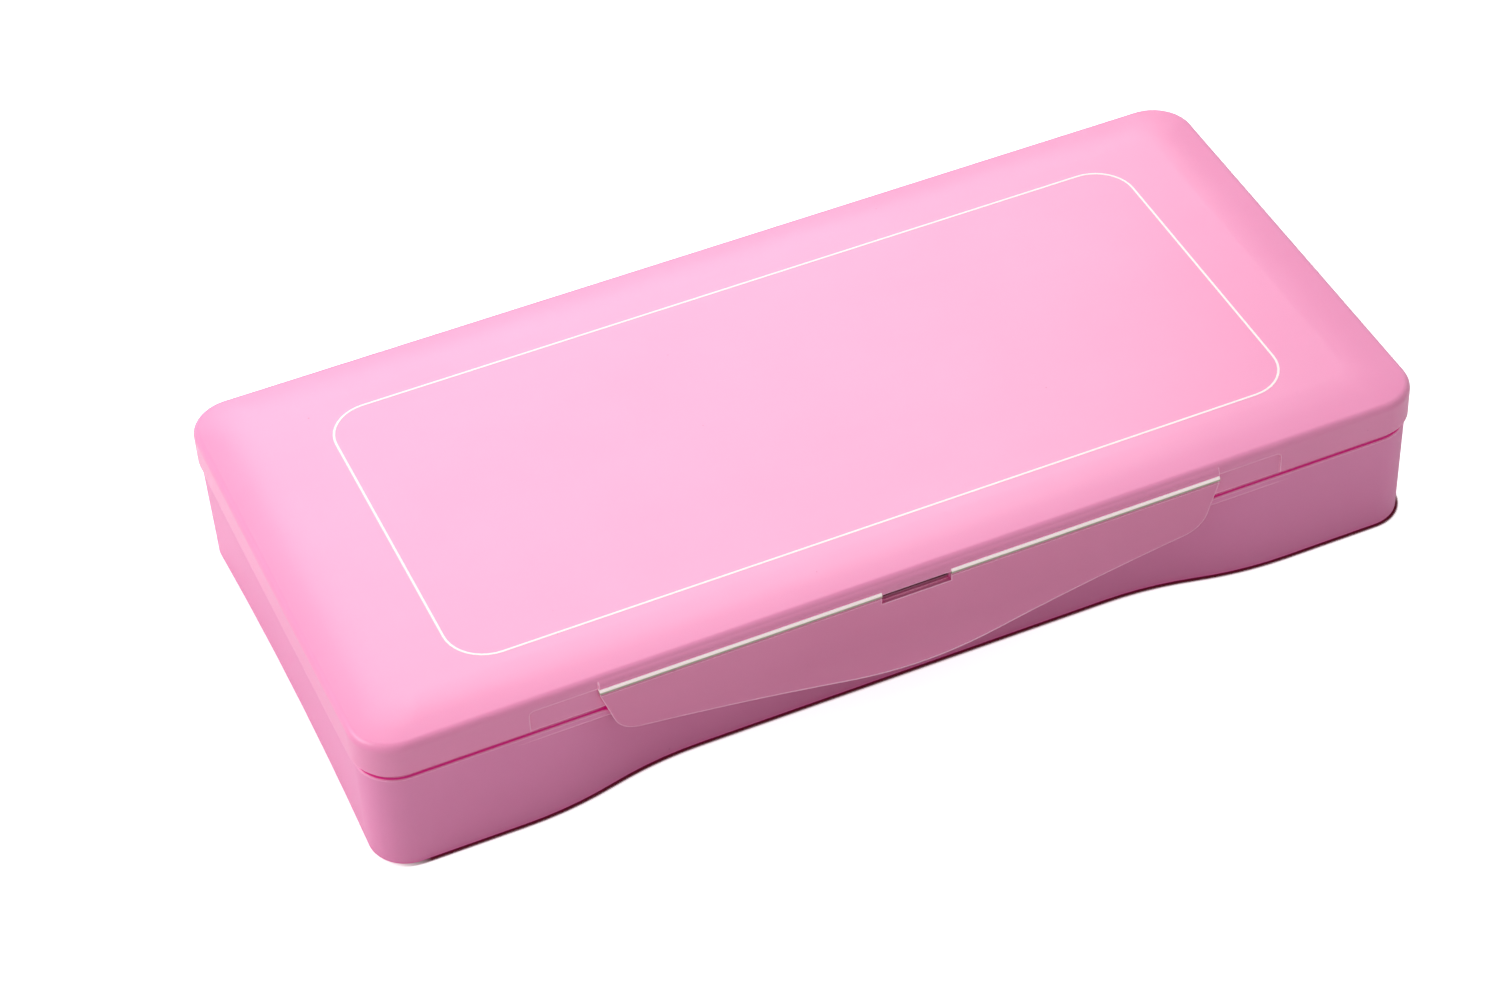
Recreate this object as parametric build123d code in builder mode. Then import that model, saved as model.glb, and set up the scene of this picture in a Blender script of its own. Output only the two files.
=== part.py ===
from build123d import *
from math import radians, tan
import os

# A low moulded case for a set of gouache paints.  The lid is a shallow crowned tray that
# sits over a deeper base.  A wide latch hangs on each long side of the lid from a thin
# folding web, and its lower edge kicks out over a hollow in the base, so that fingers can
# get behind it.  The web of the rear latch is also the hinge that the lid turns on.
# Eighteen open cups of paint stand in the base, in a grid of moulded ribs.
#
# Origin: middle of the underside.  X along the length, front latch at -Y, Z up.

# ---------------------------------------------------------------- driving dimensions, mm

# Plan of the case, over the lid
case_length = 305.0
case_width = 145.0
corner_radius = 12.0

# Base
base_height = 32.1            # underside to the top of the rim
base_inset = 0.85             # rim behind the face of the lid's skirt
base_wall = 2.0
base_floor = 1.8
base_draft = 0.8              # degrees, walls below the rim
base_edge_radius = 0.8        # rounding round the underside
rim_height = 2.0              # straight band at the top of the base
rim_edge = 0.3                # chamfer on the edges of rim and lip
foot_width = 7.0              # flat band that the case stands on
foot_step = 0.6               # hollow inside that band

# Hollows for the fingers in both long walls of the base, under the rim
grip_depth = 6.6
grip_half = 60.0              # half of the straight stretch
grip_run = 52.0               # length of the S at each end
ledge_thickness = 1.6         # rim floor above the hollow
end_hollow = 1.0              # how far both end walls bow inwards below the rim

# Lip on the rim, which steers the lid's skirt
lip_height = 4.5
lip_clearance = 0.3
lip_end_gap = 2.5             # from the lip's ends to the start of the rear corners

# Lid
lid_gap = 2.1                 # between rim and skirt
lid_height = 11.8
lid_wall = 1.6
lid_roof = 1.8
crown_width = 15.0
crown_drop = 1.4
crown_corner_radius = 6.0     # corner of the flat middle of the top
crown_steps = 3               # sections that the crown is drawn through
lid_edge_radius = 2.0
skirt_edge = 0.4              # chamfer round the skirt's lower edge
panel_length = 216.0          # shallow sunk panel behind each latch, up to the brow
panel_depth = 0.5
panel_corner_radius = 1.5

# Folding webs, on whose axes the latches turn
web_drop = 5.6                # from the top of the lid to the axis
web_stand_off = 0.75          # axis in front of the sunk panel
web_nose = 0.85
web_above = 1.0               # web above the axis, up to the brow
web_below = 0.85              # web below the axis
web_groove = 0.15             # crease along the middle of a web
slot_length = 20.0            # window between the two webs of a latch
slot_above = 0.1              # top of the window over the axis
slot_below = 3.0              # bottom of the window below the axis

# Brow, the stretch of the lid's edge that rolls out over each pair of webs
brow_proud = 0.65             # in front of the skirt
brow_drop = 0.4               # top of the brow below the edge of the crown

# Latches
latch_length = 178.0          # at the web
latch_foot_length = 168.4     # between the lower corners
latch_thickness = 1.1
latch_top_edge = 0.3          # chamfer on the upper outer edge, which clears the brow
latch_gap = 0.2               # behind the latch
latch_web_gap = 0.15
latch_corner_drop = 15.7      # from the axis to the lower corners
latch_point_drop = 26.9       # from the axis to where the two lower edges would meet
latch_corner_radius = 8.0
latch_point_radius = 174.0
latch_flat_drop = 15.4        # from the axis to where the outward curl starts
latch_curl_radius = 17.5
latch_curl_turn = 80.0        # degrees of curl drawn before the outline is cut
catch_length = 120.0
catch_radius = 0.3
catch_drop = 0.2              # catch below the ledge

# Cups and paint
columns = 6
rows = 3
rib_thickness = 1.6
grid_margin = 0.8             # round the whole grid, inside the walls
cup_height = 27.0
cup_gap = 0.6                 # between neighbouring flanges
cup_flange = 2.2
cup_flange_thickness = 1.0
cup_wall = 0.9
cup_taper = 3.5               # degrees
cup_corner = 5.0              # cut at each upright corner of a cup
cup_corner_ease = 1.6         # second cut, which takes the edges off the first
flange_clearance = 0.2        # flange above the ribs
headspace = 3.0               # paint below the top of the cup

# ------------------------------------------------------------------- places that follow

lid_low = base_height + lid_gap
case_height = lid_low + lid_height
ledge_low = base_height - rim_height
draft_inset = ledge_low * tan(radians(base_draft))
skirt_face = case_width / 2
panel_face = skirt_face - panel_depth
axis_y = -(panel_face + web_stand_off)
axis_z = case_height - web_drop
latch_inner = -(panel_face + latch_gap)
latch_outer = latch_inner - latch_thickness
latch_top = axis_z - web_below - latch_web_gap
brow_reach = skirt_face + brow_proud
brow_lap = brow_reach + axis_y
brow_low = axis_z + web_above
brow_high = case_height - crown_drop - brow_drop
cup_top = base_floor + cup_height
flange_low = cup_top - cup_flange_thickness
rib_top = flange_low - flange_clearance
wall_inset = base_inset + base_wall
inner_length = case_length - 2 * (wall_inset + draft_inset + end_hollow)
inner_width = case_width - 2 * (wall_inset + draft_inset + grip_depth)
column_pitch = (inner_length - 2 * grid_margin) / columns
row_pitch = (inner_width - 2 * grid_margin) / rows

os.makedirs("parts", exist_ok=True)


# ----------------------------------------------------------------------------- sections

def plain_section(height, inset, radius):
    """Rounded rectangle at a height, inset from the plan of the case."""
    with BuildSketch(Plane.XY.offset(height)) as section:
        RectangleRounded(case_length - 2 * inset, case_width - 2 * inset, radius)
    return section.sketch.face()


def grip_section(height, inset):
    """Plan of the base below its rim: drawn in along both long sides for the fingers,
    and bowed in a little at the ends."""
    half_length = case_length / 2 - inset
    half_width = case_width / 2 - inset
    radius = corner_radius - inset
    grip_end = grip_half + grip_run
    with BuildSketch(Plane.XY.offset(height)) as section:
        with BuildLine():
            Line((0, grip_depth - half_width), (grip_half, grip_depth - half_width))
            inner = TangentArc(
                (grip_half, grip_depth - half_width),
                (grip_half + grip_run / 2, grip_depth / 2 - half_width),
                tangent=(1, 0),
            )
            TangentArc(inner @ 1, (grip_end, -half_width), tangent=inner % 1)
            Line((grip_end, -half_width), (half_length - radius, -half_width))
            RadiusArc(
                (half_length - radius, -half_width),
                (half_length, radius - half_width),
                -radius,
            )
            TangentArc(
                (half_length - end_hollow, 0),
                (half_length, radius - half_width),
                tangent=(0, -1),
            )
            mirror(about=Plane.XZ)
            mirror(about=Plane.YZ)
        make_face()
    return section.sketch.face()


def crowned_block(low, top, inset):
    """Block with upright sides whose top falls away in a smooth crown near the edges."""
    edge = top - crown_drop
    levels = []
    for step in range(crown_steps + 1):
        share = step / crown_steps
        radius = corner_radius + (crown_corner_radius - corner_radius) * share
        height = top - crown_drop * (1 - share) ** 2
        levels.append(
            plain_section(height, inset + (crown_width - inset) * share, radius - inset)
        )
    with BuildPart() as block:
        extrude(plain_section(low, inset, corner_radius - inset), amount=edge - low)
        loft(levels)
    return block.part


# --------------------------------------------------------------------------------- base

with BuildPart() as rib_grid:
    extrude(
        grip_section(0, base_inset + draft_inset + base_wall / 2),
        amount=rib_top,
        taper=-base_draft,
    )
    with BuildSketch(Plane.XY) as ribs:
        with GridLocations(column_pitch, 0, columns - 1, 1):
            Rectangle(rib_thickness, case_width)
        with GridLocations(0, row_pitch, 1, rows - 1):
            Rectangle(case_length, rib_thickness)
    extrude(amount=rib_top, mode=Mode.INTERSECT)

with BuildPart() as base_shell:
    # drafted wall with the finger hollows, rounded round the underside
    extrude(
        grip_section(0, base_inset + draft_inset), amount=ledge_low, taper=-base_draft
    )
    fillet(edges().group_by(Axis.Z)[0], base_edge_radius)

    # straight rim over it
    extrude(
        plain_section(ledge_low, base_inset, corner_radius - base_inset),
        amount=rim_height,
    )
    chamfer(edges().group_by(Axis.Z)[-1], rim_edge)

    # the cavity follows the wall up to the ledge, and the rim above it
    ledge_top = ledge_low + ledge_thickness
    extrude(
        grip_section(base_floor, wall_inset + draft_inset),
        amount=ledge_top - base_floor,
        taper=-base_draft,
        mode=Mode.SUBTRACT,
    )
    extrude(
        plain_section(ledge_top, wall_inset, corner_radius - wall_inset),
        amount=rim_height,
        mode=Mode.SUBTRACT,
    )

    # lip along the front and the ends, short of the rear corners
    lip_inset = lid_wall + lip_clearance
    with BuildSketch(Plane.XY.offset(base_height)) as lip:
        RectangleRounded(
            case_length - 2 * lip_inset, case_width - 2 * lip_inset, corner_radius - lip_inset
        )
        RectangleRounded(
            case_length - 2 * wall_inset,
            case_width - 2 * wall_inset,
            corner_radius - wall_inset,
            mode=Mode.SUBTRACT,
        )
        with Locations((0, case_width / 2)):
            Rectangle(
                case_length, 2 * (corner_radius + lip_end_gap), mode=Mode.SUBTRACT
            )
    extrude(amount=lip_height)
    chamfer(edges().group_by(Axis.Z)[-1], rim_edge)

    # ribs, and the hollow underside inside the foot band
    add(rib_grid.part)
    foot_inset = base_inset + draft_inset + foot_width
    extrude(grip_section(0, foot_inset), amount=foot_step, mode=Mode.SUBTRACT)

base_shell.part.label = "base_shell"
export_step(base_shell.part, "parts/base_shell.step")

# ---------------------------------------------------------------------------------- lid

def sunk_panel(face):
    """Outline of the sunk panel on one long side, open at the skirt's lower edge."""
    with BuildSketch(Plane.XZ.offset(face)) as panel:
        with Locations((0, lid_low)):
            RectangleRounded(
                panel_length, 2 * (brow_low - lid_low), panel_corner_radius
            )
    return panel.sketch.face()


with BuildPart() as lid_shell:
    add(crowned_block(lid_low, case_height, 0))
    rim_loop = edges().filter_by(
        lambda edge: abs(edge.center().Z - (case_height - crown_drop)) < 0.01
    )
    fillet(rim_loop, lid_edge_radius)
    chamfer(edges().group_by(Axis.Z)[0], skirt_edge)

    extrude(sunk_panel(panel_face), amount=2 * panel_depth, mode=Mode.SUBTRACT)
    extrude(sunk_panel(-panel_face), amount=-2 * panel_depth, mode=Mode.SUBTRACT)

    # brow over each pair of webs, rounded like the rest of the lid's edge, and a little
    # deeper over the window between them
    with BuildSketch(Plane.YZ.offset(-latch_length / 2)) as brow:
        with Locations((0, (brow_low + brow_high) / 2)):
            Rectangle(2 * brow_reach, brow_high - brow_low)
        fillet(brow.vertices().group_by(Axis.Y)[-1], lid_edge_radius)
    extrude(amount=latch_length)
    slot_top = axis_z + slot_above
    with BuildSketch(Plane.YZ.offset(-slot_length / 2)) as slot_edge:
        with Locations((0, (slot_top + brow_low) / 2)):
            Rectangle(2 * brow_reach, brow_low - slot_top)
    extrude(amount=slot_length)

    add(crowned_block(lid_low, case_height - lid_roof, lid_wall), mode=Mode.SUBTRACT)

    # window through the skirt between the two webs of each latch
    window_height = slot_above + slot_below
    with BuildSketch(Plane.XZ) as window:
        with Locations((0, slot_top - window_height / 2)):
            Rectangle(slot_length, window_height)
    extrude(amount=case_width, both=True, mode=Mode.SUBTRACT)

lid_shell.part.label = "lid_shell"
export_step(lid_shell.part, "parts/lid_shell.step")

# --------------------------------------------------------------------------------- webs


def make_web(side, end):
    """Folding web on one latch's axis, from the window out to one end of the latch."""
    web_length = (latch_length - slot_length) / 2
    start = slot_length / 2 if end > 0 else -latch_length / 2
    back = web_stand_off
    with BuildPart() as web:
        # in the section, x runs from the axis towards the lid and y upwards
        section_plane = Plane(
            origin=(start, side * axis_y, axis_z), x_dir=(0, side, 0), z_dir=(side, 0, 0)
        )
        with BuildSketch(section_plane):
            with BuildLine():
                upper = Polyline(
                    (back, -web_below / 2),
                    (back, web_above),
                    (-brow_lap, web_above),
                    (-web_nose, web_groove),
                    (web_groove - web_nose, 0),
                    (-web_nose, -web_groove),
                )
                lower = RadiusArc(upper @ 1, (0, -web_below), -web_below)
                Line(lower @ 1, upper @ 0)
            make_face()
        extrude(amount=side * web_length)
    return web.part


for side, place in ((1, "front"), (-1, "rear")):
    for end, hand in ((-1, "left"), (1, "right")):
        name = f"{place}_web_{hand}"
        web = make_web(side, end)
        web.label = name
        export_step(web, f"parts/{name}.step")

# ------------------------------------------------------------------------------ latches

with BuildPart() as front_latch:
    # flat plate whose lower part curls outwards
    curl_start = axis_z - latch_flat_drop
    with BuildSketch(Plane.YZ.offset(-latch_length / 2)) as plate:
        with BuildLine():
            Line((latch_inner, latch_top), (latch_inner, curl_start))
            back = JernArc(
                (latch_inner, curl_start), (0, -1), latch_curl_radius, -latch_curl_turn
            )
            edge_low = latch_top - latch_top_edge
            Line((latch_outer, edge_low), (latch_outer, curl_start))
            face = JernArc(
                (latch_outer, curl_start),
                (0, -1),
                latch_curl_radius - latch_thickness,
                -latch_curl_turn,
            )
            Line(back @ 1, face @ 1)
            Polyline(
                (latch_inner, latch_top),
                (latch_outer + latch_top_edge, latch_top),
                (latch_outer, edge_low),
            )
        make_face()
    extrude(amount=latch_length)

    # the outline narrows downwards and its lower edge dips to the middle
    with BuildSketch(Plane.XZ) as outline:
        with BuildLine():
            Polyline(
                (0, latch_top),
                (latch_length / 2, latch_top),
                (latch_foot_length / 2, axis_z - latch_corner_drop),
                (0, axis_z - latch_point_drop),
                (-latch_foot_length / 2, axis_z - latch_corner_drop),
                (-latch_length / 2, latch_top),
                close=True,
            )
        make_face()
        fillet(outline.vertices().group_by(Axis.Y)[1], latch_corner_radius)
        fillet(outline.vertices().group_by(Axis.Y)[0], latch_point_radius)
        # notch that continues the window between the webs
        with Locations((0, latch_top)):
            Rectangle(slot_length, 2 * (latch_top - axis_z + slot_below), mode=Mode.SUBTRACT)
    extrude(amount=case_width, mode=Mode.INTERSECT)

    # catch bead on the back, under the ledge of the rim
    with BuildSketch(Plane.YZ.offset(-catch_length / 2)) as catch:
        with Locations((latch_inner, ledge_low - catch_drop - catch_radius)):
            Circle(catch_radius)
            with Locations((-catch_radius, 0)):
                Rectangle(2 * catch_radius, 2 * catch_radius, mode=Mode.SUBTRACT)
    extrude(amount=catch_length)

front_latch.part.label = "front_latch"
export_step(front_latch.part, "parts/front_latch.step")

with BuildPart() as rear_latch:
    mirror(front_latch.part, about=Plane.XZ)

rear_latch.part.label = "rear_latch"
export_step(rear_latch.part, "parts/rear_latch.step")

# ----------------------------------------------------------------------- cups and paint

cup_length = column_pitch - cup_gap - 2 * cup_flange
cup_width = row_pitch - cup_gap - 2 * cup_flange


def cup_block(grow, depth):
    """Tapered block hung from the plane of a cup's mouth, its outline grown all round.

    Each upright corner is rounded off in three short facets.
    """
    mouth = Plane.XY.offset(cup_top)
    with BuildPart() as block:
        with BuildSketch(mouth) as outline:
            Rectangle(cup_length + 2 * grow, cup_width + 2 * grow)
            chamfer(outline.vertices(), cup_corner + grow)
            chamfer(outline.vertices(), cup_corner_ease)
        extrude(amount=-depth)
        draft(faces().filter_by(Axis.Z, reverse=True), mouth, -cup_taper)
    return block.part


cavity = cup_block(-cup_wall, cup_height - cup_wall)

with BuildPart() as cup:
    add(cup_block(0, cup_height))
    add(cup_block(cup_flange, cup_flange_thickness))
    add(cavity, mode=Mode.SUBTRACT)

with BuildPart() as paint:
    add(cavity)
    split(bisect_by=Plane.XY.offset(cup_top - headspace), keep=Keep.BOTTOM)

print("paint in each cup, millilitres:", round(paint.part.volume / 1000, 1))

places = GridLocations(column_pitch, row_pitch, columns, rows).locations
for number, place in enumerate(places, start=1):
    for kind, piece in (("cup", cup), ("paint", paint)):
        name = f"{kind}_{number:02d}"
        placed = piece.part.moved(place)
        placed.label = name
        export_step(placed, f"parts/{name}.step")
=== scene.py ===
# %% [markdown]
# # Dressing a moulded paint box
#
# The shapes of this box arrive finished: a base, a crowned lid, two long latches on thin
# folding webs, and eighteen cups of gouache. What is left is everything that light tells
# us about them. We give the plastic its satin skin, print a fine white line on the lid,
# and make the cups and the paint in them from scratch, because they are the soft and
# rounded things in the set.
#
# We start by loading the model.

# %% Load the model
import math
import bmesh
import bpy
from mathutils import Matrix, Vector, noise


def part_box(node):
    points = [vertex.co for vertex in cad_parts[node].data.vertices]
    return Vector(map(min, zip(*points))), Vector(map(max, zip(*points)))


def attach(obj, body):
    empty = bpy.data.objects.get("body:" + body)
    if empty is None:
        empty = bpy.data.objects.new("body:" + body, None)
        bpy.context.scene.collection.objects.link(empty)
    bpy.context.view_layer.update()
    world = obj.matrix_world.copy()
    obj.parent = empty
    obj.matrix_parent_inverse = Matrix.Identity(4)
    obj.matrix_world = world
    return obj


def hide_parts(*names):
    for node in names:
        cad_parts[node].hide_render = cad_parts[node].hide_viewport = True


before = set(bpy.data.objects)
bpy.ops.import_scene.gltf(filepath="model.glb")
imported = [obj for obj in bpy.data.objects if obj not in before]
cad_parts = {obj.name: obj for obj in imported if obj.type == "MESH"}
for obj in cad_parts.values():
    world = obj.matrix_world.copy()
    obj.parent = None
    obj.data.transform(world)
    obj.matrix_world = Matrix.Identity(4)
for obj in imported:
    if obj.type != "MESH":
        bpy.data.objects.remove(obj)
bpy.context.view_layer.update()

mm = 0.001

# %% [markdown]
# ## Three small helpers
#
# Colours are easiest to write as six hex digits, but Blender's sockets take linear
# values, so one function converts them. A second one adds a shader node and fills its
# inputs: a plain value is set on the socket, and another node's output is linked to it.
# A third one starts a material with an empty node tree.

# %% Helpers
def hue(code):
    """Six hex digits as the linear colour that a socket takes."""
    shares = [int(code[i:i + 2], 16) / 255 for i in (0, 2, 4)]
    linear = [s / 12.92 if s <= 0.04045 else ((s + 0.055) / 1.055) ** 2.4 for s in shares]
    return linear + [1]


def add(tree, kind, inputs=None, **settings):
    """One shader node with its settings and inputs."""
    node = tree.nodes.new("ShaderNode" + kind)
    for name, value in settings.items():
        setattr(node, name, value)
    for key, value in (inputs or {}).items():
        if isinstance(value, bpy.types.NodeSocket):
            tree.links.new(value, node.inputs[key])
        else:
            node.inputs[key].default_value = value
    return node


def new_material(name):
    """A material with an empty node tree."""
    material = bpy.data.materials.new(name)
    material.use_nodes = True
    material.node_tree.nodes.clear()
    return material


print("a pink in linear light:", [round(c, 3) for c in hue("F5A0C9")])

# %% [markdown]
# ## The camera
#
# The view is a long lens from the front left, well above the box. A camera looks down
# its own -Z axis, so we turn it in three steps that are easy to think about: which way
# round the box (about the world's Z), how steeply down, and last a small roll about its
# own line of sight. Multiplied in that order they give one rotation.

# %% Camera
camera = bpy.data.objects.new("camera", bpy.data.cameras.new("camera"))
bpy.context.collection.objects.link(camera)
camera.data.sensor_width = 36
camera.data.lens = 97.68
turn = Matrix.Rotation(math.radians(-21.586), 4, "Z")
tilt = Matrix.Rotation(math.radians(90 - 43.198), 4, "X")
roll = Matrix.Rotation(math.radians(-3.406), 4, "Z")
stand = Matrix.Translation((-0.31588, -0.75780, 0.78057))
camera.matrix_world = stand @ turn @ tilt @ roll
bpy.context.scene.camera = camera
print("camera", round(camera.location.length, 3), "m from the middle of the box")

# %% [markdown]
# ## Floor and background
#
# A product shot has a floor that is so white that only the contact with the object shows.
# The floor here does two jobs. Lamps and bounced light see a plain pale floor. The
# camera sees the same floor with some white added, so the open floor reaches full white.
# The narrow dark seam where the box touches it is painted shadow: an ambient-occlusion
# node, which looks how closed in a point is within two millimetres, darkens the floor's
# colour there. The light comes from the left, so the painted shadow fades out towards
# the left end.

# %% Floor
floor_mesh = bpy.data.meshes.new("floor")
floor_mesh.from_pydata([(-6, -6, 0), (6, -6, 0), (6, 6, 0), (-6, 6, 0)], [], [(0, 1, 2, 3)])
floor = bpy.data.objects.new("floor", floor_mesh)
bpy.context.collection.objects.link(floor)

floor_paint = new_material("matt_white_floor")
tree = floor_paint.node_tree
ray = add(tree, "LightPath")
near = add(tree, "AmbientOcclusion", {"Distance": 0.002}, samples=16)
# Painted shadow: where the floor is closed in by the box, its colour turns a dark maroon.
painted_contact_shadow = add(tree, "ValToRGB", {"Fac": near.outputs["AO"]})
painted_contact_shadow.color_ramp.elements[0].position = 0.7
painted_contact_shadow.color_ramp.elements[0].color = hue("45101F")
painted_contact_shadow.color_ramp.elements[1].position = 0.86
painted_contact_shadow.color_ramp.elements[1].color = (1, 1, 1, 1)
along = add(tree, "SeparateXYZ", {0: add(tree, "TexCoord").outputs["Object"]}).outputs["X"]
# Towards the lit left end the painted shadow fades back to white.
painted_shadow_side = add(tree, "MapRange", {"Value": along, "From Min": -0.153, "From Max": -0.138})
painted_shadow_colour = add(tree, "Mix", {0: painted_shadow_side.outputs[0], 6: (1, 1, 1, 1),
                            7: painted_contact_shadow.outputs["Color"]}, data_type="RGBA").outputs[2]
diffuse = add(tree, "BsdfDiffuse", {"Color": (0.82, 0.82, 0.82, 1)})
glow = add(tree, "Emission", {"Color": painted_shadow_colour, "Strength": 0.8})
lit = add(tree, "BsdfDiffuse", {"Color": painted_shadow_colour})
seen = add(tree, "AddShader", {0: glow.outputs[0], 1: lit.outputs[0]})
chosen = add(tree, "MixShader", {0: ray.outputs["Is Camera Ray"],
                                 1: diffuse.outputs[0], 2: seen.outputs[0]})
add(tree, "OutputMaterial", {"Surface": chosen.outputs[0]})
floor_mesh.materials.append(floor_paint)
print("floor", floor.dimensions[:])

# %% [markdown]
# ## Light
#
# Two soft lamps and a pale world. The larger lamp stands high on the left and a little
# behind, so the lid and the left end are bright and the long front wall is in half
# shade. The smaller one stands where the lid would mirror it to the camera: its
# reflection lies over the left and the middle of the lid as a thin white veil, which is
# what makes the plastic look satin. The world lights evenly at half strength, but the
# camera and the reflections see it as white.

# %% Lamps and world
def softbox(name, place, target, size, power):
    """A square area lamp at a place in metres, turned to face a target."""
    data = bpy.data.lights.new(name, "AREA")
    data.shape = "SQUARE"
    data.size = size
    data.energy = power
    lamp = bpy.data.objects.new(name, data)
    bpy.context.collection.objects.link(lamp)
    lamp.location = place
    aim = Vector(target) - Vector(place)
    lamp.rotation_euler = aim.to_track_quat("-Z", "Y").to_euler()
    return lamp


key = softbox("key_softbox", (-0.95, 0.3, 0.9), (0, 0, 0.03), 0.8, 10.0)
back = softbox("back_softbox", (0.27, 0.93, 0.95), (0, 0, 0.03), 0.75, 8.0)

world = bpy.data.worlds.new("pale_studio")
bpy.context.scene.world = world
world.use_nodes = True
tree = world.node_tree
tree.nodes.clear()
ray = add(tree, "LightPath")
seen = add(tree, "Math", {0: ray.outputs["Is Camera Ray"], 1: ray.outputs["Is Glossy Ray"]},
           operation="MAXIMUM")
seen = add(tree, "Math", {0: seen.outputs[0], 1: ray.outputs["Is Transmission Ray"]},
           operation="MAXIMUM")
strength = add(tree, "MapRange", {"Value": seen.outputs[0], "To Min": 0.45, "To Max": 1.0})
air = add(tree, "Background", {"Color": (1, 1, 1, 1), "Strength": strength.outputs[0]})
add(tree, "OutputWorld", {"Surface": air.outputs[0]})
bpy.context.scene.view_settings.view_transform = "Standard"
print("lamps:", key.name, back.name)

# %% [markdown]
# ## Satin polypropylene
#
# The case is moulded in polypropylene, a slightly waxy plastic. Its mould has a fine
# matt texture, so highlights are wide and soft, and the big flat faces are never quite
# even: the colour clouds a little over 40 mm, and the surface waves by a hair's breadth
# where it shrank. A little light also travels inside it.
#
# Three effects follow the shape. The Bevel node rounds the shading of each sharp edge by
# a few tenths of a millimetre. Where its normal turns away from the face's own we are on
# an edge, and there a painted highlight is laid on: the colour turns paler and the edge
# is given a faint pale glow. And an ambient-occlusion node finds the narrow gaps, which
# get painted shade in a deep magenta and a faint magenta glow instead of turning grey,
# standing in for light that has passed through pink plastic many times.

# %% Edges and gaps
def shape_marks(tree, edge):
    """The normal with rounded edges, a mask for painted edge highlights and one for painted
    shade in narrow gaps.
    """
    rounded = add(tree, "Bevel", {"Radius": edge}, samples=6)
    plain = add(tree, "NewGeometry")
    meet = add(tree, "VectorMath", {0: rounded.outputs[0], 1: plain.outputs["Normal"]},
               operation="DOT_PRODUCT")
    turned = add(tree, "MapRange", {"Value": meet.outputs["Value"], "From Min": 0.985,
                                    "From Max": 0.86})
    space = add(tree, "AmbientOcclusion", {"Distance": 0.005}, samples=8)
    free = add(tree, "MapRange", {"Value": space.outputs["AO"], "From Min": 0.4,
                                  "From Max": 0.6})
    painted_edge_highlight = add(tree, "Math", {0: turned.outputs[0], 1: free.outputs[0]},
                operation="MULTIPLY")
    painted_gap_shade = add(tree, "MapRange", {"Value": space.outputs["AO"], "From Min": 0.6,
                                 "From Max": 0.3})
    return rounded.outputs[0], painted_edge_highlight.outputs[0], painted_gap_shade.outputs[0]


# %% [markdown]
# The material itself mixes its colour in three steps: the clouded pink, the painted
# magenta shade of the gaps, and the painted highlight on the edges. All patterns use
# Object coordinates, which are metres here, so a scale of 22 is a pattern of about
# 45 mm, and the few dark specks, where dust was moulded in, are a third of a millimetre.

# %% Polypropylene
def blend_colours(tree, share, first, second):
    """A colour between two others."""
    return add(tree, "Mix", {0: share, 6: first, 7: second}, data_type="RGBA").outputs[2]


def polypropylene(name, low, high, edge, roughness):
    """Satin moulded plastic between two close colours."""
    material = new_material(name)
    tree = material.node_tree
    place = add(tree, "TexCoord").outputs["Object"]
    cloud = add(tree, "TexNoise", {"Vector": place, "Scale": 22, "Detail": 2})
    grain = add(tree, "TexNoise", {"Vector": place, "Scale": 2600, "Detail": 1})
    stroke = add(tree, "Mapping", {"Vector": place, "Scale": (40, 900, 900),
                                   "Rotation": (0, 0, 0.5)})
    scuff = add(tree, "TexNoise", {"Vector": stroke.outputs[0], "Scale": 1, "Detail": 3})
    dust = add(tree, "TexVoronoi", {"Vector": place, "Scale": 80})
    speck = add(tree, "MapRange", {"Value": dust.outputs["Distance"], "From Min": 0.026,
                                   "From Max": 0.014, "To Max": 0.5})
    normal, painted_edge_highlight, painted_gap_shade = shape_marks(tree, edge)
    pink = blend_colours(tree, cloud.outputs["Fac"], hue(low), hue(high))
    pink = blend_colours(tree, speck.outputs[0], pink, hue("C9548C"))
    # Painted shade: narrow gaps are tinted a deep magenta.
    pink = blend_colours(tree, painted_gap_shade, pink, hue("D8108C"))
    # Painted highlight: thin edges are tinted paler.
    pink = blend_colours(tree, painted_edge_highlight, pink, hue("FCD3E5"))
    # Painted light: gaps glow faintly magenta and edges glow faintly pale.
    painted_glow_colour = blend_colours(tree, painted_edge_highlight, hue("CC0484"), hue("FFC4DC"))
    painted_glow_strength = add(tree, "Math", {0: painted_gap_shade, 1: 0.2}, operation="MULTIPLY")
    painted_glow_strength = add(tree, "Math", {0: painted_edge_highlight, 1: 0.3, 2: painted_glow_strength.outputs[0]},
                 operation="MULTIPLY_ADD")
    gloss = add(tree, "MapRange", {"Value": scuff.outputs["Fac"], "From Min": 0.35,
                                   "From Max": 0.65, "To Min": roughness - 0.01,
                                   "To Max": roughness + 0.01})
    wave = add(tree, "Bump", {"Height": cloud.outputs["Fac"], "Distance": 0.0004,
                              "Strength": 0.2, "Normal": normal})
    skin = add(tree, "Bump", {"Height": grain.outputs["Fac"], "Distance": 0.00002,
                              "Strength": 0.6, "Normal": wave.outputs[0]})
    surface = add(tree, "BsdfPrincipled", {
        "Base Color": pink, "Roughness": gloss.outputs[0], "IOR": 1.49,
        "Subsurface Weight": 0.12, "Subsurface Radius": (0.003, 0.0012, 0.002),
        "Subsurface Scale": 1.0, "Emission Color": painted_glow_colour,
        "Emission Strength": painted_glow_strength.outputs[0], "Normal": skin.outputs[0]})
    add(tree, "OutputMaterial", {"Surface": surface.outputs[0]})
    return material


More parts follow.
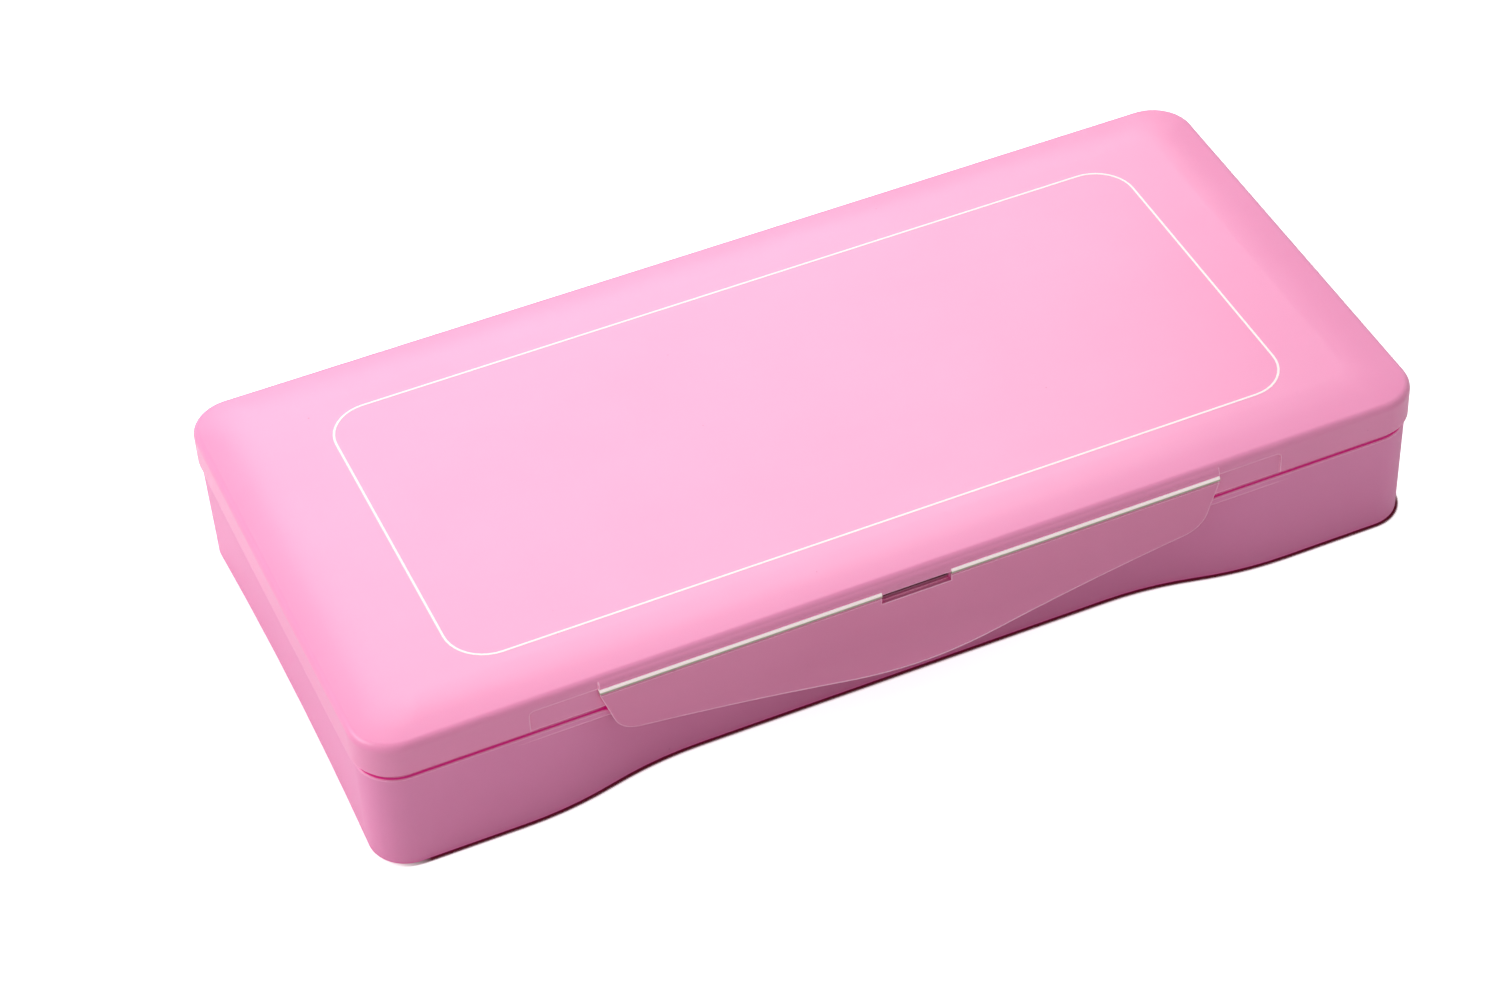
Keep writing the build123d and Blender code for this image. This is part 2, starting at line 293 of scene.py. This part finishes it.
case_pink = polypropylene("satin_polypropylene_base", "E98AB9", "EE91BF", 0.0005, 0.42)
lid_pink = polypropylene("satin_polypropylene_lid", "F08FBB", "F597C2", 0.0005, 0.3)
latch_pink = polypropylene("satin_polypropylene_latch", "E989B4", "EE90BA", 0.0005, 0.3)
print("plastics:", case_pink.name, lid_pink.name, latch_pink.name)

# %% [markdown]
# ## Whitened folding webs
#
# Where polypropylene is folded it turns white: the stretched plastic fills with tiny
# voids that scatter light. So the webs are the same plastic, but chalky and cream-white,
# with fine lines across the fold and no clear gloss. A web has two lips with a groove
# between them. The upper lip faces the light and gets a painted highlight: it stays
# whiter and is given a faint glow. The lower lip faces away and is painted a grey shade.

# %% Whitened webs
whitened = new_material("stress_whitened_polypropylene")
tree = whitened.node_tree
place = add(tree, "TexCoord").outputs["Object"]
across = add(tree, "Mapping", {"Vector": place, "Scale": (1400, 120, 120)})
crazing = add(tree, "TexNoise", {"Vector": across.outputs[0], "Scale": 1, "Detail": 3})
chalk = blend_colours(tree, crazing.outputs["Fac"], hue("FBE4E2"), hue("FFFAF7"))
height = add(tree, "SeparateXYZ", {0: place}).outputs["Z"]
web_low, web_high = (corner[2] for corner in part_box("front_web_left"))
fold = (web_low + web_high) / 2
painted_light_upper_lip = add(tree, "MapRange", {"Value": height, "From Min": fold,
                               "From Max": fold + 0.35 * mm})
# Painted shade: below the fold the lower lip is tinted grey, while above it the chalk
# stays.
tint = blend_colours(tree, painted_light_upper_lip.outputs[0], hue("BFBBA8"), chalk)
# Painted highlight: the upper lip also glows faintly.
upper_lip_painted_glow = add(tree, "Math", {0: painted_light_upper_lip.outputs[0], 1: 0.28}, operation="MULTIPLY")
lines = add(tree, "Bump", {"Height": crazing.outputs["Fac"], "Distance": 0.00005,
                           "Strength": 0.5})
surface = add(tree, "BsdfPrincipled", {
    "Base Color": tint, "Roughness": 0.55, "Emission Color": hue("FFF1EC"),
    "Emission Strength": upper_lip_painted_glow.outputs[0], "Normal": lines.outputs[0]})
add(tree, "OutputMaterial", {"Surface": surface.outputs[0]})
print("web plastic:", whitened.name)

# %% [markdown]
# ## Dressing the nodes that keep their shape
#
# The engineering model's meshes stay as they are and only get a material.

# %% Dress the case
def dress(node, material):
    """Puts one material on a node of the model."""
    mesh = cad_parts[node].data
    mesh.materials.clear()
    mesh.materials.append(material)


dress("base_shell", case_pink)
dress("lid_shell", lid_pink)
for node in ("front_latch", "rear_latch"):
    dress(node, latch_pink)
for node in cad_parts:
    if "_web_" in node:
        dress(node, whitened)
print("dressed the case")

# %% [markdown]
# ## Rounded plates
#
# The printed line, the cups and the paint all start as the same thing: a flat rectangle
# with rounded corners. It could be typed in as a list of points, but two operators make
# it: a grid of one face, and a bevel of its four corners. To turn a plate into a cup we
# extrude its one face again and again, and after each extrusion scale and lift it, as a
# potter opens a bowl. The extrusion takes the old face away, so only the wall is left,
# and at the end the hole where we began is filled.

# %% Rounded plates
def rounded_plate(middle, half, corner, height, steps, cuts=0):
    """A mesh of one flat face, a rectangle with round corners and, if asked, cut sides."""
    bm = bmesh.new()
    bmesh.ops.create_grid(bm, x_segments=1, y_segments=1, size=1)
    bmesh.ops.scale(bm, vec=(half[0], half[1], 1), verts=bm.verts[:])
    bmesh.ops.bevel(bm, geom=bm.verts[:], offset=corner, offset_type="OFFSET",
                    segments=steps, profile=0.5, affect="VERTICES", material=-1)
    if cuts:
        sides = [edge for edge in bm.edges if edge.calc_length() > corner]
        bmesh.ops.bisect_edges(bm, edges=sides, cuts=cuts)
    bmesh.ops.translate(bm, vec=(middle[0], middle[1], height), verts=bm.verts[:])
    return bm


def raise_plate(bm, middle, half, steps):
    """Extrudes a plate's face through steps of height and half sizes."""
    face, last = bm.faces[:][0], half
    about = Matrix.Translation((-middle[0], -middle[1], 0))
    for number, (height, wide, deep) in enumerate(steps):
        if number:
            face = bmesh.ops.extrude_discrete_faces(bm, faces=[face])["faces"][0]
        bmesh.ops.scale(bm, vec=(wide / last[0], deep / last[1], 1), space=about,
                        verts=face.verts[:])
        lift = height - face.verts[0].co.z
        bmesh.ops.translate(bm, vec=(0, 0, lift), verts=face.verts[:])
        last = (wide, deep)
    rim = [edge for edge in bm.edges if edge.is_boundary]
    bmesh.ops.holes_fill(bm, edges=rim, sides=0)


def new_piece(name, bm, material, body, smooth=True):
    """Turns a bmesh into a finished object that rides on a body."""
    bmesh.ops.recalc_face_normals(bm, faces=bm.faces[:])
    mesh = bpy.data.meshes.new(name)
    bm.to_mesh(mesh)
    bm.free()
    for face in mesh.polygons:
        face.use_smooth = smooth
    mesh.materials.append(material)
    piece = bpy.data.objects.new(name, mesh)
    bpy.context.collection.objects.link(piece)
    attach(piece, body)
    return piece


# %% [markdown]
# ## The printed line
#
# A rounded cream-white line is printed on the flat middle of the lid. Ink has almost no
# thickness, so the line is a ring a few hundredths of a millimetre above the plastic: a
# rounded plate, inset by one line width, with its middle taken out. Ink on a matt
# moulding is never quite even, so its colour varies over about a millimetre.

# %% Printed line
white_ink = new_material("white_printing_ink")
tree = white_ink.node_tree
place = add(tree, "TexCoord").outputs["Object"]
patch = add(tree, "TexNoise", {"Vector": place, "Scale": 900, "Detail": 2})
tint = blend_colours(tree, patch.outputs["Fac"], hue("F8E4E8"), hue("FFFBF4"))
surface = add(tree, "BsdfPrincipled", {"Base Color": tint, "Roughness": 0.45})
add(tree, "OutputMaterial", {"Surface": surface.outputs[0]})

lid_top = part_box("lid_shell")[1][2]
line_width = 0.65 * mm
line_middle = (1.70 * mm, -1.12 * mm)
line_half = (121.07 * mm, 52.72 * mm)
line_corner = 12.1 * mm
ink_lift, ink_depth = 0.01 * mm, 0.03 * mm
bm = rounded_plate(line_middle, line_half, line_corner, lid_top + ink_lift, 10)
ring = bmesh.ops.inset_region(bm, faces=bm.faces[:], thickness=line_width,
                              use_boundary=True, use_even_offset=True)["faces"]
bmesh.ops.delete(bm, geom=[face for face in bm.faces if face not in ring],
                 context="FACES_ONLY")
raised = bmesh.ops.extrude_face_region(bm, geom=bm.faces[:], use_keep_orig=True)["geom"]
ink_top = [part for part in raised if isinstance(part, bmesh.types.BMVert)]
bmesh.ops.translate(bm, vec=(0, 0, ink_depth), verts=ink_top)
frame_line = new_piece("printed_frame_line", bm, white_ink, "lid", smooth=False)
print("printed line:", [round(d / mm, 1) for d in frame_line.dimensions])

# %% [markdown]
# ## Cups
#
# A cup is a thin tapered tray of milky polypropylene with a flat flange round its mouth,
# vacuum formed or moulded so thin that light goes through its rim. Its section is a list
# of steps that runs from the middle of the underside, up the outside, over the flange
# and down the inside to the middle of the floor. Each step is a height below the rim and
# how far it stands out from the mouth, so a wall or a radius can be changed in one place.

# %% Cup section
taper = math.tan(math.radians(3.5))
cup_deep = 27 * mm
wall = 0.9 * mm
flange = 2.2 * mm
inside = cup_deep - wall
cup_section = [
    (cup_deep, -15 * mm), (cup_deep, -3.2 * mm - cup_deep * taper),
    (cup_deep - 0.25 * mm, -1.6 * mm - cup_deep * taper),
    (cup_deep - 0.9 * mm, -0.6 * mm - cup_deep * taper),
    (cup_deep - 2 * mm, -0.1 * mm - (cup_deep - 2 * mm) * taper),
    (1.5 * mm, -1.5 * mm * taper), (1 * mm, 0.3 * mm), (1 * mm, flange - 0.25 * mm),
    (0.75 * mm, flange), (0.25 * mm, flange), (0, flange - 0.25 * mm), (0, 0.1 * mm),
    (0.2 * mm, -0.5 * mm), (0.7 * mm, -wall),
    (inside - 2.2 * mm, -wall - (inside - 2.2 * mm) * taper),
    (inside - 0.8 * mm, -wall - 0.6 * mm - inside * taper),
    (inside, -wall - 2.2 * mm - inside * taper), (inside, -15 * mm)]
print("cup section:", len(cup_section), "steps")

# %% Cups
cup_plastic = new_material("milky_polypropylene_cup")
tree = cup_plastic.node_tree
place = add(tree, "TexCoord").outputs["Object"]
cloud = add(tree, "TexNoise", {"Vector": place, "Scale": 60, "Detail": 2})
tint = blend_colours(tree, cloud.outputs["Fac"], hue("EFEEEA"), hue("F7F7F5"))
surface = add(tree, "BsdfPrincipled", {
    "Base Color": tint, "Roughness": 0.3, "IOR": 1.49, "Subsurface Weight": 0.3,
    "Subsurface Radius": (0.002, 0.002, 0.002), "Subsurface Scale": 1.0})
add(tree, "OutputMaterial", {"Surface": surface.outputs[0]})

numbers = range(1, 19)
for number in numbers:
    low, high = (Vector(corner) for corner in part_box(f"cup_{number:02d}"))
    middle = (low + high) / 2
    half = ((high.x - low.x) / 2 - flange, (high.y - low.y) / 2 - flange)
    bm = rounded_plate(middle, half, 6 * mm, high.z - cup_deep, 8)
    raise_plate(bm, middle, half, [(high.z - below, half[0] + out, half[1] + out)
                                   for below, out in cup_section])
    cup = new_piece(f"moulded_cup_{number:02d}", bm, cup_plastic, "base")
    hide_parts(f"cup_{number:02d}")
print("cups:", len(numbers), "mouth", [round(2 * h / mm, 1) for h in half])

# %% [markdown]
# ## Gouache
#
# Gouache is finely ground pigment and chalk in gum, so it dries to a velvety matt and is
# only slightly shiny while moist. Each colour is one material: streaks of a few
# millimetres where the pigment isn't quite stirred in, which are also where it is wetter,
# and a grit of well under a millimetre in the skin.

# %% Gouache colours
PAINTS = {
    "titanium_white": "EEEBE4", "lemon_yellow": "F7DC2E", "golden_yellow": "F6AE22",
    "orange": "EE6F24", "vermilion": "D72828", "crimson": "A91A3B",
    "rose": "EE8FAE", "violet": "6F2F78", "ultramarine": "33338C",
    "cobalt_blue": "1F58B4", "sky_blue": "3D9ACC", "viridian": "1B7B72",
    "deep_green": "22743C", "leaf_green": "80AE36", "ochre": "C2904A",
    "burnt_sienna": "8C4A26", "umber": "4E3020", "black": "1A1A1C",
}


def gouache(name, code):
    """Moist, finely ground paint of one colour."""
    material = new_material("gouache_" + name)
    tree = material.node_tree
    base = hue(code)
    place = add(tree, "TexCoord").outputs["Object"]
    streak = add(tree, "TexNoise", {"Vector": place, "Scale": 160, "Detail": 3,
                                    "Distortion": 1.5})
    grit = add(tree, "TexNoise", {"Vector": place, "Scale": 1500, "Detail": 2})
    tint = blend_colours(tree, streak.outputs["Fac"], [c * 0.88 for c in base[:3]] + [1],
                         [min(c * 1.1 + 0.006, 1) for c in base[:3]] + [1])
    wet = add(tree, "MapRange", {"Value": streak.outputs["Fac"], "To Min": 0.3,
                                 "To Max": 0.5})
    skin = add(tree, "Bump", {"Height": grit.outputs["Fac"], "Distance": 0.00008,
                              "Strength": 0.5})
    surface = add(tree, "BsdfPrincipled", {
        "Base Color": tint, "Roughness": wet.outputs[0], "Normal": skin.outputs[0],
        "Coat Weight": 0.12, "Coat Roughness": 0.25})
    add(tree, "OutputMaterial", {"Surface": surface.outputs[0]})
    return material


print("colours:", len(PAINTS))

# %% [markdown]
# The paint itself is a stiff cream. It is filled from a nozzle, so its top keeps a soft
# swirl, and it climbs a little where it wets the wall. Its block is a raised plate too.
# The last steps stay level and only shrink, which lays loops over the top, and then each
# of those points is lifted by a slow spiral wave that fades towards the wall, plus a
# little noise. Each cup gets its own turn of the swirl.

# %% Paint in the cups
def swirl_height(across, along, turn, seed):
    """Lift of the paint's top at a place from -1 to 1 in each direction."""
    out = min(math.hypot(across, along), 1.4)
    edge = max(abs(across), abs(along))
    angle = math.atan2(along, across)
    swirl = math.cos(angle - 6.5 * out + turn) * out * (1 - edge ** 4)
    rough = noise.noise(Vector((2.6 * across, 2.6 * along, seed)))
    dimple = math.exp(-(out / 0.2) ** 2)
    meniscus = max(0, edge - 0.9) / 0.1
    within = 0.75 * swirl + 0.7 * rough * (1 - edge ** 2) - 0.4 * dimple
    return (within + 0.5 * meniscus) * mm


paint_gap = 0.05 * mm
top_loops = 20
for number, (name, code) in zip(numbers, PAINTS.items()):
    low, high = (Vector(corner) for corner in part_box(f"paint_{number:02d}"))
    middle = (low + high) / 2
    half = ((high.x - low.x) / 2 - paint_gap, (high.y - low.y) / 2 - paint_gap)
    fill = high.z - low.z
    level = high.z - 0.6 * mm
    steps = [(low.z + up, half[0] - inward, half[1] - inward) for up, inward in (
        (0.1 * mm, 2.4 * mm + fill * taper), (0.9 * mm, 0.8 * mm + fill * taper),
        (2.2 * mm, 0.2 * mm + (fill - 2.2 * mm) * taper))]
    steps += [(level, half[0] * loop / top_loops, half[1] * loop / top_loops)
              for loop in range(top_loops, 0, -1)]
    bm = rounded_plate(middle, half, 5 * mm, low.z, 6, cuts=9)
    raise_plate(bm, middle, half, steps)
    for vert in bm.verts:
        if vert.co.z > level - 0.01 * mm:
            across, along = ((vert.co[i] - middle[i]) / half[i] for i in (0, 1))
            vert.co.z += swirl_height(across, along, number * 1.7, number * 5.3)
    paint = new_piece(f"gouache_{number:02d}", bm, gouache(name, code), "base")
    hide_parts(f"paint_{number:02d}")
print("paints:", len(numbers), "level", round(level / mm, 2))

# %% [markdown]
# ## The end

# %% End
print("the box is dressed")
